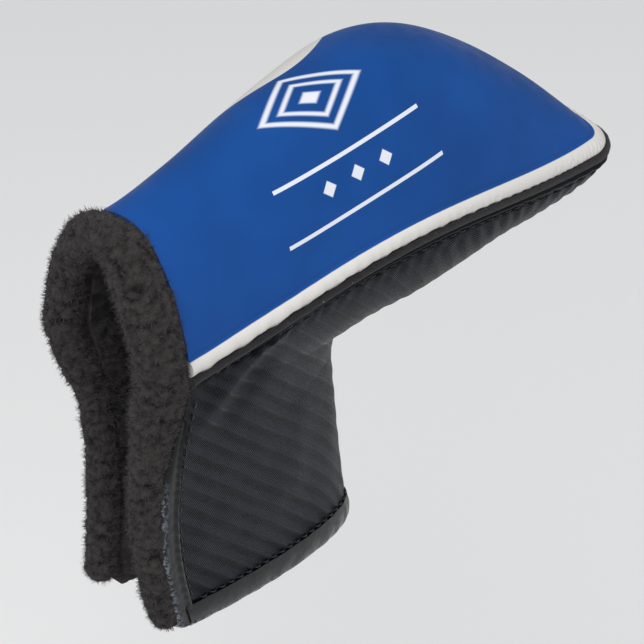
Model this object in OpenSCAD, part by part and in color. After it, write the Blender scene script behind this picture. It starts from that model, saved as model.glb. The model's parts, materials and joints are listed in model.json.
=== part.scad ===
// Padded head cover for a blade putter.
// X runs from the heel to the toe, Z runs up along the club's shaft, Y = 0 is the middle plane.
// The near side has negative Y. Every layer is one step inwards of the same outer surface.

/* [Head] */
// Distance from the shaft's axis to the heel end of the long seam
heel_reach = 38; // [34:1:42]
// Distance from the shaft's axis to the toe
toe_reach = 105.5; // [98:0.5:116]
// Half the width of the cover at the heel end
heel_half_w = 20.6; // [18:0.2:23]
// Half the width of the cover at the toe
toe_half_w = 31.8; // [30:0.2:38]
// Corner radius of the toe, seen from above
toe_corner_r = 10; // [9:1:20]
// Height of the long seam above the lowest point of the hem
seam_z = 92; // [84:1:100]
// How far the long seam arches up in its middle
seam_rise = 7; // [3:0.5:10]
// Height of the crown above the seam at the heel
crown_h = 36; // [30:0.5:38]
// Extra height of the crown over the middle of the head
crown_rise = 2.5; // [0:0.5:8]
// Length over which the crown falls to the toe
crown_drop_l = 67; // [58:1:75]
// Height of the keel, the lowest line of the head pocket
keel_z = 67.5; // [60:0.5:74]
// How far the keel rises from the inside corner to the middle of the head
keel_rise = 5; // [0:0.5:7]

/* [Skirt] */
// Radius of the inside corner between the head pocket and the skirt
corner_r = 8; // [6:0.5:10]
// Distance from the shaft's axis to the middle of that corner
corner_x = 37; // [34:1:44]
// How far the skirt's closed edge leans towards the toe at its foot
skirt_lean = 7; // [0:0.5:9]
// Height of the hem at the open edge
hem_heel_z = 14; // [8:1:20]
// Half the width of the skirt at its foot
foot_half_w = 16; // [14:0.5:19]
// How far the near flap's open edge bulges towards the heel
near_bulge = 6.5; // [2:0.5:8]
// How far the far flap's open edge bulges towards the heel
far_bulge = -5; // [-6:0.5:8]
// Depth of the turned hem band, as a share of the skirt's lower half
hem_share = 0.13; // [0.06:0.005:0.15]

/* [Layers] */
// Thickness of the outer synthetic leather
leather_t = 1.2; // [1:0.1:1.5]
// Thickness of the foam under the leather
foam_t = 1.8; // [1.4:0.1:2.2]
// Thickness of the fleece lining
fleece_t = 4.6; // [3.5:0.1:5]
// Thickness of the felt welt in the long seam
welt_t = 2; // [1.6:0.1:2.4]
// How far the welt stands proud of the leather
welt_proud = 1.1; // [0.6:0.1:1.6]
// Radius of the rolled fleece cuff on the arch
cuff_r = 6.2; // [5:0.2:7]
// Radius of the binding on the flaps' open edges
binding_r = 1.1; // [0.9:0.1:1.3]

/* [Flaps] */
// Distance from the shaft's axis to the foot of a flap's fold line
fold_foot_x = 12; // [4:1:16]
// Half the gap along a fold line, at the leather
fold_gap = 0.7; // [0.6:0.1:1.2]
// Growth of that half gap with depth below the leather
fold_flare = 0.14; // [0.1:0.02:0.2]
// Radius of a closing magnet
magnet_r = 5; // [4:0.5:6]
// Thickness of a closing magnet
magnet_t = 1.6; // [1.2:0.2:2]

/* [Stitching] */
// Distance from one stitch to the next
stitch_pitch = 4.2; // [3.6:0.2:6]
// Length of one stitch
stitch_l = 2.8; // [2:0.2:3]
// Radius of the thread
thread_r = 0.3; // [0.25:0.05:0.4]
// Height of the thread's middle above the leather
thread_lift = 0.5; // [0.4:0.05:0.7]

/* [Hidden] */

layer_gap = 0.2;
foam_d = leather_t + layer_gap;
fleece_d = foam_d + foam_t + layer_gap;
inner_d = fleece_d + fleece_t;
// Shape powers of the cross-sections: flank and crown of the top, flank of the sides
top_flank = 0.87;
top_crown = 1.38;
side_flank = 0.95;
taper_l = 115;
taper_power = 1.6;
crown_blend_l = 140;
fall_power = 2.1;
fall_foot = 0.85;
keel_end_r = 26;
keel_power = 2.4;
keel_rise_l = 36;
edge_x = 36;
edge_top_x = 2;
corner_z = keel_z - corner_r;
side_top_z = seam_z - welt_t / 2;
keel_angle = 89.4;
foam_angle = 78;
tape_angle = 80.5;
tape_d = foam_d + 0.3;
tape_t = 0.8;
// Rows along a side run by a number w: 0 to 1 from the toe to the corner under the pocket,
// 1 to 2 back along the seam to the heel, 2 to 3 down the open edge to the corner's height,
// and 3 to 4 down the skirt to the hem.
hem_w = 4 - hem_share;
flap_top_w = 2.22;
leather_color = "#23252b";
fleece_color = "#37332f";
foam_color = "#8d8f94";
thread_color = "#101114";

function share(t) = max(0, min(1, t));
function closing(t, n) = pow(max(0, 1 - pow(1 - share(t), n)), 1 / n);
function line_z(x) = seam_z + seam_rise * pow(sin(180 * share((x + heel_reach) / (heel_reach + toe_reach))), 2);

// Half the width of the cover at x, d below the leather's face, with the toe's round corners
function half_w(x, d) =
    let (grow = pow(sin(90 * share((x + heel_reach) / taper_l)), taper_power))
    let (r = toe_corner_r - d)
    heel_half_w + (toe_half_w - heel_half_w) * grow - d - r * (1 - closing((toe_reach - d - x) / r, 2));

function crown_height(x, d) =
    let (rise = crown_rise * pow(sin(90 * share((x + heel_reach) / crown_blend_l)), 2))
    let (fall = share((x - toe_reach + crown_drop_l) / (crown_drop_l - d)))
    (crown_h + rise - d) * pow(1 - pow(fall, fall_power), fall_foot);

// A point on the crown: a is 0 at the near seam, 90 on the ridge and 180 at the far seam
function crown_pt(x, a, d) =
    [x,
     -half_w(x, d) * sign(cos(a)) * pow(abs(cos(a)), top_flank),
     line_z(x) + welt_t / 2 + crown_height(x, d) * pow(max(0, sin(a)), top_crown)];

// The open edge of a side: x at height z
function open_edge_x(z, bulge) =
    let (t = share((z - hem_heel_z) / (side_top_z - hem_heel_z)))
    -edge_x - edge_top_x * t - bulge * sin(180 * t);

function outer_end(w, d, bulge) =
    let (x = w <= 1 ? toe_reach - d - (toe_reach - d - corner_x) * w : corner_x - (corner_x + heel_reach) * (w - 1))
    let (z = w <= 3 ? side_top_z + (corner_z - side_top_z) * (w - 2) : corner_z + (hem_heel_z - corner_z) * (w - 3))
    w <= 2 ? [x, line_z(x) - welt_t / 2] : [open_edge_x(z, bulge), z];

function inner_end(w, d, bulge) =
    let (o = outer_end(w, d, bulge))
    let (c = [corner_x, corner_z])
    let (closed = closing((toe_reach - d - o.x) / (keel_end_r - d), keel_power))
    let (keel = keel_z + keel_rise * pow(sin(90 * share((o.x - corner_x) / keel_rise_l)), 2))
    w <= 1 ? [o.x, o.y - (o.y - keel - d) * closed]
    : w <= 3 ? c + (corner_r + d) * (o - c) / norm(o - c)
    : [corner_x - corner_r - d + skirt_lean * pow(w - 3, 1.3), corner_z * (4 - w)];

function side_half_w(w, d, bulge) =
    let (o = outer_end(w, d, bulge))
    w <= 2 ? half_w(o.x, d)
    : foot_half_w + (heel_half_w - foot_half_w) * (o.y - hem_heel_z) / (side_top_z - hem_heel_z) - d;

// A point on the near side: a is 0 at the seam or the open edge and 90 on the middle plane
function side_pt(w, a, d, bulge) =
    let (p = outer_end(w, d, bulge) + (inner_end(w, d, bulge) - outer_end(w, d, bulge)) * sin(a))
    [p.x, -side_half_w(w, d, bulge) * pow(max(0, cos(a)), side_flank), p.y];

// The fold line of a flap, from the heel end of the seam to the hem, seen from the side
fold_top = [-heel_reach, side_top_z];
fold_foot = [fold_foot_x, hem_heel_z * (1 - (fold_foot_x + edge_x) / (corner_x - corner_r + skirt_lean + edge_x))];
function cross2(a, b) = a.x * b.y - a.y * b.x;
function fold_angle(w, d, bulge, way) =
    let (o = outer_end(w, d, bulge))
    let (ray = inner_end(w, d, bulge) - o)
    let (fold = fold_foot - fold_top)
    let (meet = cross2(fold_top - o, fold) / cross2(ray, fold))
    let (lean = abs(cross2(ray, fold)) / norm(ray) / norm(fold))
    let (gap = (fold_gap + fold_flare * d) / lean / norm(ray))
    asin(share(meet + way * gap));

function flatten(rows) = [for (row = rows) each row];
function spread(a, b, n) = [for (i = [0 : n]) a + (b - a) * i / n];
function unit(v) = v / norm(v);

// A closed shell between two grids of points of the same size
module slab(outer, inner) {
    rows = len(outer);
    cols = len(outer[0]);
    n = rows * cols;
    faces = [
        for (i = [0 : rows - 2], j = [0 : cols - 2])
            let (a = i * cols + j)
            let (b = a + cols)
            each [[a, a + 1, b + 1], [a, b + 1, b], [n + a, n + b + 1, n + a + 1], [n + a, n + b, n + b + 1]],
        for (i = [0 : rows - 2])
            let (a = i * cols)
            let (b = a + cols)
            each [[a, b, n + b], [a, n + b, n + a],
                  [a + cols - 1, n + b + cols - 1, b + cols - 1], [a + cols - 1, n + a + cols - 1, n + b + cols - 1]],
        for (j = [0 : cols - 2])
            let (b = (rows - 1) * cols + j)
            each [[j, n + j + 1, j + 1], [j, n + j, n + j + 1], [b, b + 1, n + b + 1], [b, n + b + 1, n + b]]
    ];
    polyhedron(points = concat(flatten(outer), flatten(inner)), faces = faces);
}

// A closed bar through a list of rings with the same number of points
module bar(rings) {
    m = len(rings[0]);
    last = len(rings) - 1;
    faces = [
        for (i = [0 : last - 1], j = [0 : m - 1])
            let (k = (j + 1) % m)
            each [[i * m + j, i * m + k, (i + 1) * m + k], [i * m + j, (i + 1) * m + k, (i + 1) * m + j]],
        [for (j = [m - 1 : -1 : 0]) j],
        [for (j = [0 : m - 1]) last * m + j]
    ];
    polyhedron(points = flatten(rings), faces = faces);
}

// Stations along the head, closer together towards the toe
function head_xs(d, n) = [for (i = [0 : n]) toe_reach - d - (toe_reach - d + heel_reach) * pow(1 - i / n, 1.7)];

module crown_layer(d0, d1, n, m) {
    slab(
        [for (i = [0 : n]) [for (a = spread(0, 180, m)) crown_pt(head_xs(d0, n)[i], a, d0)]],
        [for (i = [0 : n]) [for (a = spread(0, 180, m)) crown_pt(head_xs(d1, n)[i], a, d1)]]
    );
}

// One layer of the fixed side: pocket, corner and the closed part of the skirt
module fixed_layer(d0, d1, foot_w, last, bulge) {
    ws = concat([for (i = [0 : 8]) pow(i / 8, 1.8)], spread(1, 2, 8), spread(2, foot_w, 8));
    rows = [for (i = [0 : len(ws) - 1]) if (i == 0 || ws[i] > ws[i - 1]) ws[i]];
    function start(w, d) = w <= 2 ? 0 : fold_angle(w, d, bulge, 1);
    slab(
        [for (w = rows) [for (a = spread(start(w, d0), last, 8)) side_pt(w, a, d0, bulge)]],
        [for (w = rows) [for (a = spread(start(w, d1), last, 8)) side_pt(w, a, d1, bulge)]]
    );
}

// One layer of a flap, from its open edge to the fold line
module flap_layer(d0, d1, top_w, foot_w, bulge) {
    rows = spread(top_w, foot_w, 8);
    slab(
        [for (w = rows) [for (a = spread(0, fold_angle(w, d0, bulge, -1), 5)) side_pt(w, a, d0, bulge)]],
        [for (w = rows) [for (a = spread(0, fold_angle(w, d1, bulge, -1), 5)) side_pt(w, a, d1, bulge)]]
    );
}

// A turned hem band along the foot of the skirt, between two angles of each row
module hem_layer(flap, bulge) {
    proud = 0.5;
    deep = foam_d + foam_t;
    rows = spread(hem_w + 0.006, 4, 2);
    function from(w, d) = flap ? 0 : fold_angle(w, d, bulge, 1);
    function upto(w, d) = flap ? fold_angle(w, d, bulge, -1) : keel_angle;
    slab(
        [for (w = rows) [for (a = spread(from(w, -proud), upto(w, -proud), 9)) side_pt(w, a, -proud, bulge)]],
        [for (w = rows) [for (a = spread(from(w, deep), upto(w, deep), 9)) side_pt(w, a, deep, bulge)]]
    );
}

// The outline of the long seam: near side, across the toe, far side
function rim_pt(s, d) =
    let (t = abs(s))
    let (x = toe_reach - d - (toe_reach - d + heel_reach) * pow(max(0, (t - 0.12) / 0.88), 1.5))
    let (y = t <= 0.12 ? (toe_half_w - toe_corner_r) * t / 0.12 : half_w(x, d))
    [x, sign(s) * y];

module welt() {
    half = welt_t / 2 - 0.1;
    deep = foam_d + foam_t;
    profile = [[-welt_proud, -half / 2], [-welt_proud / 2, -half], [deep, -half],
               [deep, half], [-welt_proud / 2, half], [-welt_proud, half / 2]];
    bar([for (s = spread(-1, 1, 50)) [for (p = profile)
        let (q = rim_pt(s, p.x))
        [q.x, q.y, line_z(q.x) + p.y]]]);
}

// The fleece roll over the arch, beside the heel end of the crown
module arch_roll() {
    ring_x = -heel_reach - cuff_r - 0.4;
    bar([for (a = spread(180, 0, 18))
        let (c = crown_pt(-heel_reach, a, cuff_r / 2))
        let (t = unit(crown_pt(-heel_reach, min(180, a + 3), cuff_r / 2) - crown_pt(-heel_reach, max(0, a - 3), cuff_r / 2)))
        let (out = [0, -t.z, t.y])
        [for (k = [0 : 8]) [ring_x, c.y, c.z] + cuff_r * (cos(40 * k) * [1, 0, 0] + sin(40 * k) * out)]]);
}

// A round bar down the open edge of a flap, its radius running from r_top to r_foot
module edge_bar(top_w, foot_w, r_top, r_foot, depth, n, bulge) {
    bar([for (i = [0 : n])
        let (w = top_w + (foot_w - top_w) * i / n)
        let (r = r_top + (r_foot - r_top) * i / n)
        let (c = side_pt(w, 0, depth, bulge))
        [for (k = [0 : 7]) c + [-r - 0.4 + r * cos(45 * k), -r * sin(45 * k), 0]]]);
}

module stitch(from, way) {
    rotate_z = atan2(way.y, way.x);
    rotate_y = acos(way.z);
    translate(from) rotate([0, rotate_y, rotate_z]) cylinder(h = stitch_l, r = thread_r, $fn = 16);
}

// Straight stitches from point to point of a row, resting on the leather
module stitch_row(points) {
    for (i = [0 : len(points) - 2]) stitch(points[i], unit(points[i + 1] - points[i]));
}

function seam_row(bulge) =
    let (n = floor((toe_reach + heel_reach - 22) / stitch_pitch))
    [for (i = [0 : n])
        let (x = toe_reach - 16 - i * (toe_reach + heel_reach - 22) / n)
        let (w = x > corner_x ? (toe_reach - x) / (toe_reach - corner_x) : 1 + (corner_x - x) / (corner_x + heel_reach))
        side_pt(w, 8, -thread_lift, bulge)];

function hem_row(from, upto, bulge) =
    let (w = hem_w - 0.025)
    let (n = floor(norm(side_pt(w, from, 0, bulge) - side_pt(w, upto, 0, bulge)) / stitch_pitch))
    [for (a = spread(from, upto, n)) side_pt(w, a, -thread_lift, bulge)];

function edge_row(bulge) =
    let (n = floor((side_top_z - hem_heel_z - 20) / stitch_pitch))
    [for (w = spread(flap_top_w + 0.3, hem_w - 0.05, n)) side_pt(w, 4, -thread_lift, bulge)];

// Two closing magnets in a flap's lining, near the foot of its open edge
module magnet_pair(bulge) {
    for (w = [3.3, 3.7]) {
        c = side_pt(w, 14, fleece_d + magnet_t, bulge);
        translate(c) rotate([90, 0, 0]) cylinder(h = magnet_t, r = magnet_r, center = true, $fn = 48);
    }
}

module crown_sheet() { color("#1f56a3") crown_layer(0, leather_t, 24, 18); }
module crown_foam() { color(foam_color) crown_layer(foam_d, foam_d + foam_t, 24, 18); }
module crown_lining() { color(fleece_color) crown_layer(fleece_d, inner_d, 16, 14); }
module seam_welt() { color("#17181b") welt(); }
module arch_cuff() { color(fleece_color) arch_roll(); }

// The tape over the keel seam, behind the leather: under the pocket, round the corner, down the skirt
module keel_tape() {
    ws = concat(spread(0.3, 1, 6), spread(1.12, 3, 14), spread(3.25, 3.85, 3));
    angles = spread(tape_angle, 90, 2);
    function half(w, d) = [for (a = angles) side_pt(w, a, d, near_bulge)];
    function other(w, d) = [for (i = [1 : 2]) let (p = half(w, d)[2 - i]) [p.x, -p.y, p.z]];
    color("#1b1c20") slab(
        [for (w = ws) concat(half(w, tape_d), other(w, tape_d))],
        [for (w = ws) concat(half(w, tape_d + tape_t), other(w, tape_d + tape_t))]
    );
}

module side_panel(bulge) { color(leather_color) fixed_layer(0, leather_t, hem_w, keel_angle, bulge); }
module side_foam(bulge) { color(foam_color) fixed_layer(foam_d, foam_d + foam_t, hem_w, foam_angle, bulge); }
module side_lining(bulge) { color(fleece_color) fixed_layer(fleece_d, inner_d, 4, keel_angle, bulge); }
module hem_band(bulge) { color(leather_color) hem_layer(false, bulge); }
module seam_stitching(bulge) { color(thread_color) stitch_row(seam_row(bulge)); }
module hem_stitching(bulge) {
    start = fold_angle(hem_w - 0.025, 0, bulge, 1) + 2;
    color(thread_color) stitch_row(hem_row(start, 80, bulge));
}
module flap_panel(bulge) { color(leather_color) flap_layer(0, leather_t, flap_top_w, hem_w, bulge); }
module flap_foam(bulge) { color(foam_color) flap_layer(foam_d, foam_d + foam_t, flap_top_w, hem_w, bulge); }
module flap_lining(bulge) { color(fleece_color) flap_layer(fleece_d, inner_d, flap_top_w, 4, bulge); }
module flap_hem(bulge) { color(leather_color) hem_layer(true, bulge); }
module flap_cuff(bulge) { color(fleece_color) edge_bar(2.24, 3.1, cuff_r, 3, 3.2, 8, bulge); }
module edge_binding(bulge) { color(leather_color) edge_bar(3.14, 3.99, binding_r, binding_r, 1, 10, bulge); }
module flap_stitching(bulge) {
    stop = fold_angle(hem_w - 0.025, 0, bulge, -1) - 5;
    color(thread_color) stitch_row(edge_row(bulge));
    color(thread_color) stitch_row(hem_row(12, stop, bulge));
}
module flap_magnets(bulge) { color("silver") magnet_pair(bulge); }

module near_side_panel() { side_panel(near_bulge); }
module near_side_foam() { side_foam(near_bulge); }
module near_side_lining() { side_lining(near_bulge); }
module near_hem_band() { hem_band(near_bulge); }
module near_seam_stitching() { seam_stitching(near_bulge); }
module near_hem_stitching() { hem_stitching(near_bulge); }
module near_flap_panel() { flap_panel(near_bulge); }
module near_flap_foam() { flap_foam(near_bulge); }
module near_flap_lining() { flap_lining(near_bulge); }
module near_flap_cuff() { flap_cuff(near_bulge); }
module near_flap_hem() { flap_hem(near_bulge); }
module near_edge_binding() { edge_binding(near_bulge); }
module near_flap_stitching() { flap_stitching(near_bulge); }
module near_flap_magnets() { flap_magnets(near_bulge); }

module far_side_panel() { mirror([0, 1, 0]) side_panel(far_bulge); }
module far_side_foam() { mirror([0, 1, 0]) side_foam(far_bulge); }
module far_side_lining() { mirror([0, 1, 0]) side_lining(far_bulge); }
module far_hem_band() { mirror([0, 1, 0]) hem_band(far_bulge); }
module far_seam_stitching() { mirror([0, 1, 0]) seam_stitching(far_bulge); }
module far_hem_stitching() { mirror([0, 1, 0]) hem_stitching(far_bulge); }
module far_flap_panel() { mirror([0, 1, 0]) flap_panel(far_bulge); }
module far_flap_foam() { mirror([0, 1, 0]) flap_foam(far_bulge); }
module far_flap_lining() { mirror([0, 1, 0]) flap_lining(far_bulge); }
module far_flap_cuff() { mirror([0, 1, 0]) flap_cuff(far_bulge); }
module far_flap_hem() { mirror([0, 1, 0]) flap_hem(far_bulge); }
module far_edge_binding() { mirror([0, 1, 0]) edge_binding(far_bulge); }
module far_flap_stitching() { mirror([0, 1, 0]) flap_stitching(far_bulge); }
module far_flap_magnets() { mirror([0, 1, 0]) flap_magnets(far_bulge); }

crown_sheet();
crown_foam();
crown_lining();
seam_welt();
arch_cuff();
keel_tape();
near_side_panel();
near_side_foam();
near_side_lining();
near_hem_band();
near_seam_stitching();
near_hem_stitching();
far_side_panel();
far_side_foam();
far_side_lining();
far_hem_band();
far_seam_stitching();
far_hem_stitching();
near_flap_panel();
near_flap_foam();
near_flap_lining();
near_flap_cuff();
near_flap_hem();
near_edge_binding();
near_flap_stitching();
near_flap_magnets();
far_flap_panel();
far_flap_foam();
far_flap_lining();
far_flap_cuff();
far_flap_hem();
far_edge_binding();
far_flap_stitching();
far_flap_magnets();
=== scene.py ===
"""Looks of a padded head cover for a blade putter.

A printed synthetic leather crown on foam, a felt welt in the long seam, two embossed sides that run down
into a skirt with a flap on each side, rolled fleece cuffs and lining, turned hems and all the thread.
Lengths are in millimetres and are turned to metres where a mesh is made.
"""

import itertools
import json

import bpy
import numpy as np
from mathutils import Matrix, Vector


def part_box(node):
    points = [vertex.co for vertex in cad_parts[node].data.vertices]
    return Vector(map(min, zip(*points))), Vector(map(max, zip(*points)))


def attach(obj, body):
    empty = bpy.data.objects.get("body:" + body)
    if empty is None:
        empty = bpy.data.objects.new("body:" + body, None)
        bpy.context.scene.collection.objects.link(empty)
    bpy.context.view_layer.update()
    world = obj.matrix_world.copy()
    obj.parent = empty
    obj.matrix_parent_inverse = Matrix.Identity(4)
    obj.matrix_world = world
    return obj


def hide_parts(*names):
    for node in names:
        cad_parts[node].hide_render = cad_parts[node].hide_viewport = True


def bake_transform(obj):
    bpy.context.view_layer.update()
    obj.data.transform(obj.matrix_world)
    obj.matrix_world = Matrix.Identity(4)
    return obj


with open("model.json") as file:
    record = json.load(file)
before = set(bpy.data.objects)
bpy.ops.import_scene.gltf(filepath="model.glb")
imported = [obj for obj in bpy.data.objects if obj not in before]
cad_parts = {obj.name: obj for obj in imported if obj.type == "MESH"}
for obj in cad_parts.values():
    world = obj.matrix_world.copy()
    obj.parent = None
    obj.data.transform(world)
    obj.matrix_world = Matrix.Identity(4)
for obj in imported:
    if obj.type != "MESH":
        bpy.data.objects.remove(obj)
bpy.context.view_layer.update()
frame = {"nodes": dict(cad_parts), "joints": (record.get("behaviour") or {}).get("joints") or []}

bl_info = {
    "name": "Putter head cover",
    "version": (1, 0, 0),
    "blender": (4, 5, 0),
    "location": "View3D > Sidebar > Head cover",
    "description": "Leather, felt, fleece and thread of a padded head cover, made round its packed frame",
    "category": "Object",
}

MM = 0.001


def corner(node, end):
    """The lowest (0) or highest (1) corner of a CAD node, in millimetres."""
    return np.array(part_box(node)[end]) / MM


# The design's surface. The first values come from the frame, the others repeat the CAD's driving dimensions.
WELT_T = 2.0
HEEL_REACH = -corner("crown_sheet", 0)[0]
TOE_REACH = corner("crown_sheet", 1)[0]
TOE_HALF_W = corner("crown_sheet", 1)[1]
SEAM_Z = corner("crown_sheet", 0)[2] - WELT_T / 2
HEEL_HALF_W = 20.6
TOE_CORNER_R = 10.0
SEAM_RISE = 7.0
CROWN_H = 36.0
CROWN_RISE = 2.5
CROWN_DROP_L = 67.0
CROWN_BLEND_L = 140.0
TAPER_L = 115.0
KEEL_Z = 67.5
KEEL_RISE = 5.0
KEEL_RISE_L = 36.0
CORNER_R = 8.0
CORNER_X = 37.0
CORNER_Z = KEEL_Z - CORNER_R
SKIRT_LEAN = 7.0
HEM_HEEL_Z = 14.0
FOOT_HALF_W = 16.0
SIDE_TOP_Z = SEAM_Z - WELT_T / 2
KEEL_END_R = 26.0
EDGE_X = 36.0
EDGE_TOP_X = 2.0
KEEL_ANGLE = 89.4
LEATHER_T = 1.2
FOAM_D = 1.4
FLEECE_D = 3.4
INNER_D = 8.0
RIDGE_CUFF_R = 5.2
CUFF_TUCK = 0.7
CUFF_DEPTH = 0.75
# The soft slanting crease over a flap's fold: where it starts, and its run and rise
CREASE_START = (-12, 93)
CREASE_WAY = (16, 12)
# The print, on the crown laid flat: places along the head, then heights over the near seam
PRINT_X = 19.3
LARGE_DIAMOND = (45.0, 16.0, 10.5)
SMALL_DIAMOND = (23.4, 3.2, 3.4)
SMALL_PITCH = 8.6
UPPER_LINE = (-3.6, 42.2, 30.6, 0.03)
LOWER_LINE = (-4.3, 44.0, 17.2, 0.045)
LINE_BOW = 1.4
PATCH_X, PATCH_FOOT, PATCH_CURVE = 22.0, 57.5, 0.02
SIDES = {
    "near": {"way": 1.0, "bulge": 6.5, "seed": 3, "arch_r": 6.0, "flap_r": 3.9, "spread": 2.0},
    "far": {"way": -1.0, "bulge": -5.0, "seed": 8, "arch_r": 4.5, "flap_r": 3.8, "spread": -0.8},
}


# ---------------------------------------------------------------- the surface

def share(t):
    """t kept between 0 and 1."""
    return np.clip(t, 0, 1)


def smooth(t):
    """0 below 0, 1 above 1 and a smooth S between."""
    t = share(t)
    return t * t * (3 - 2 * t)


def closing(t, power):
    """Rises from 0 to 1 as a superellipse quarter: (1 - (1 - t)^power)^(1 / power)."""
    return np.maximum(0, 1 - (1 - share(t)) ** power) ** (1 / power)


def bell(x, middle, width):
    """A Gaussian bump of height 1."""
    return np.exp(-(((x - middle) / width) ** 2))


def line_z(x):
    """Height of the long seam: its level plus a squared sine over the cover's length."""
    return SEAM_Z + SEAM_RISE * np.sin(np.pi * share((x + HEEL_REACH) / (HEEL_REACH + TOE_REACH))) ** 2


def half_w(x, d):
    """Half the width at x, d below the face: a sine taper to the toe, less the toe's round corners."""
    grow = np.sin(np.pi / 2 * share((x + HEEL_REACH) / TAPER_L)) ** 1.6
    r = TOE_CORNER_R - d
    return HEEL_HALF_W + (TOE_HALF_W - HEEL_HALF_W) * grow - d - r * (1 - closing((TOE_REACH - d - x) / r, 2))


def crown_height(x, d):
    """Height of the crown over the seam: a squared sine rise, then a superelliptic fall to the toe."""
    rise = CROWN_RISE * np.sin(np.pi / 2 * share((x + HEEL_REACH) / CROWN_BLEND_L)) ** 2
    fall = share((x - TOE_REACH + CROWN_DROP_L) / (CROWN_DROP_L - d))
    return (CROWN_H + rise - d) * (1 - fall ** 2.1) ** 0.85


def crown_pt(x, a, d):
    """The crown at x and angle a, 0 at the near seam and 180 degrees at the far seam: powers of cosine and sine."""
    c, s = np.cos(np.radians(a)), np.maximum(np.sin(np.radians(a)), 0)
    y = -half_w(x, d) * np.sign(c) * np.abs(c) ** 0.87
    return np.stack([x + 0 * y, y, line_z(x) + WELT_T / 2 + crown_height(x, d) * s ** 1.38], -1)


def outer_end(w, d, bulge):
    """Where row w of a side starts, in XZ: along the seam up to w = 2, then down the flap's open edge to the hem."""
    toe = TOE_REACH - d
    x = np.where(w <= 1, toe - (toe - CORNER_X) * w, CORNER_X - (CORNER_X + HEEL_REACH) * (w - 1))
    high = SIDE_TOP_Z + (CORNER_Z - SIDE_TOP_Z) * (w - 2)
    z = np.where(w <= 3, high, CORNER_Z + (HEM_HEEL_Z - CORNER_Z) * (w - 3))
    t = share((z - HEM_HEEL_Z) / (SIDE_TOP_Z - HEM_HEEL_Z))
    edge = -EDGE_X - EDGE_TOP_X * t - bulge * np.sin(np.pi * t)
    return np.stack([np.where(w <= 2, x, edge), np.where(w <= 2, line_z(x) - WELT_T / 2, z)], -1)


def inner_end(w, d, bulge):
    """Where row w ends on the middle plane: the keel, the round corner under the pocket, then the closed edge."""
    o = outer_end(w, d, bulge)
    low = KEEL_Z + KEEL_RISE * np.sin(np.pi / 2 * share((o[..., 0] - CORNER_X) / KEEL_RISE_L)) ** 2
    keel = o[..., 1] - (o[..., 1] - low - d) * closing((TOE_REACH - d - o[..., 0]) / (KEEL_END_R - d), 2.4)
    ray = o - [CORNER_X, CORNER_Z]
    arc = [CORNER_X, CORNER_Z] + np.asarray(CORNER_R + d)[..., None] * ray / np.linalg.norm(ray, axis=-1, keepdims=True)
    skirt_x = CORNER_X - CORNER_R - d + SKIRT_LEAN * np.maximum(w - 3, 0) ** 1.3
    x = np.where(w <= 1, o[..., 0], np.where(w <= 3, arc[..., 0], skirt_x))
    z = np.where(w <= 1, keel, np.where(w <= 3, arc[..., 1], CORNER_Z * (4 - w)))
    return np.stack([x, z], -1)


def side_half_w(w, d, bulge):
    """Half the width at the start of row w: the cover's own width, then an even taper down to the foot."""
    o = outer_end(w, d, bulge)
    taper = (o[..., 1] - HEM_HEEL_Z) / (SIDE_TOP_Z - HEM_HEEL_Z)
    return np.where(w <= 2, half_w(o[..., 0], d), FOOT_HALF_W + (HEEL_HALF_W - FOOT_HALF_W) * taper - d)


def side_pt(w, a, d, bulge):
    """The near side at row w and angle a, 0 at the seam or open edge and 90 degrees on the middle plane."""
    o, i = outer_end(w, d, bulge), inner_end(w, d, bulge)
    p = o + (i - o) * np.sin(np.radians(a))[..., None]
    y = -side_half_w(w, d, bulge) * np.maximum(np.cos(np.radians(a)), 0) ** 0.95
    return np.stack([p[..., 0], y, p[..., 1]], -1)


def rim_pt(s, d):
    """The long seam's outline in XY, d inside: s from -1 at the near heel through 0 at the toe to 1."""
    t = np.abs(s)
    x = TOE_REACH - d - (TOE_REACH - d + HEEL_REACH) * np.maximum(0, (t - 0.12) / 0.88) ** 1.5
    y = np.where(t <= 0.12, (TOE_HALF_W - TOE_CORNER_R) * t / 0.12, half_w(x, d))
    return np.stack([x, np.sign(s) * y], -1)


# ---------------------------------------------------------------- noise

def hashed(cells, seed):
    """Three even random shares for each cell of three whole numbers: the fraction of a large sine."""
    mix = np.array([[12.9898, 39.346, 73.156], [78.233, 11.135, 52.235], [37.719, 83.155, 9.151]])
    turns = np.sin(cells @ mix + seed) * 43758.5453
    return turns - np.floor(turns)


def curls(points, size, seed):
    """Rounded lumps, 1 on a crest and 0 in a crease: one random centre per cube, and the distance to the nearest."""
    cell = np.floor(points / size)
    nearest = np.full(points.shape[:-1], 9.0)
    for offset in itertools.product((-1, 0, 1), repeat=3):
        centre = cell + offset + hashed(cell + offset, seed)
        nearest = np.minimum(nearest, np.linalg.norm(points / size - centre, axis=-1))
    return 1 - share(nearest) ** 2


def swell(points, size, seed):
    """Smooth noise about 0: the mean of twelve sine waves of about that wavelength in random directions."""
    rng = np.random.default_rng(seed)
    ways = rng.normal(size=(12, 3))
    ways /= np.linalg.norm(ways, axis=1)[:, None] * size * rng.uniform(0.7, 1.5, (12, 1))
    return np.sin(2 * np.pi * (points @ ways.T + rng.uniform(size=12))).mean(-1) * 2


# ---------------------------------------------------------------- meshes

def normals(p):
    """Unit normals of a grid of points: the cross product of its two directions."""
    n = np.cross(np.gradient(p, axis=0), np.gradient(p, axis=1))
    return n / np.maximum(np.linalg.norm(n, axis=-1, keepdims=True), 1e-9)


def outward(p, middle):
    """Unit normals of a grid, turned as a whole to point away from a middle point."""
    n = normals(p)
    return n if np.sum(n * (p - middle)) > 0 else -n


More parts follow.
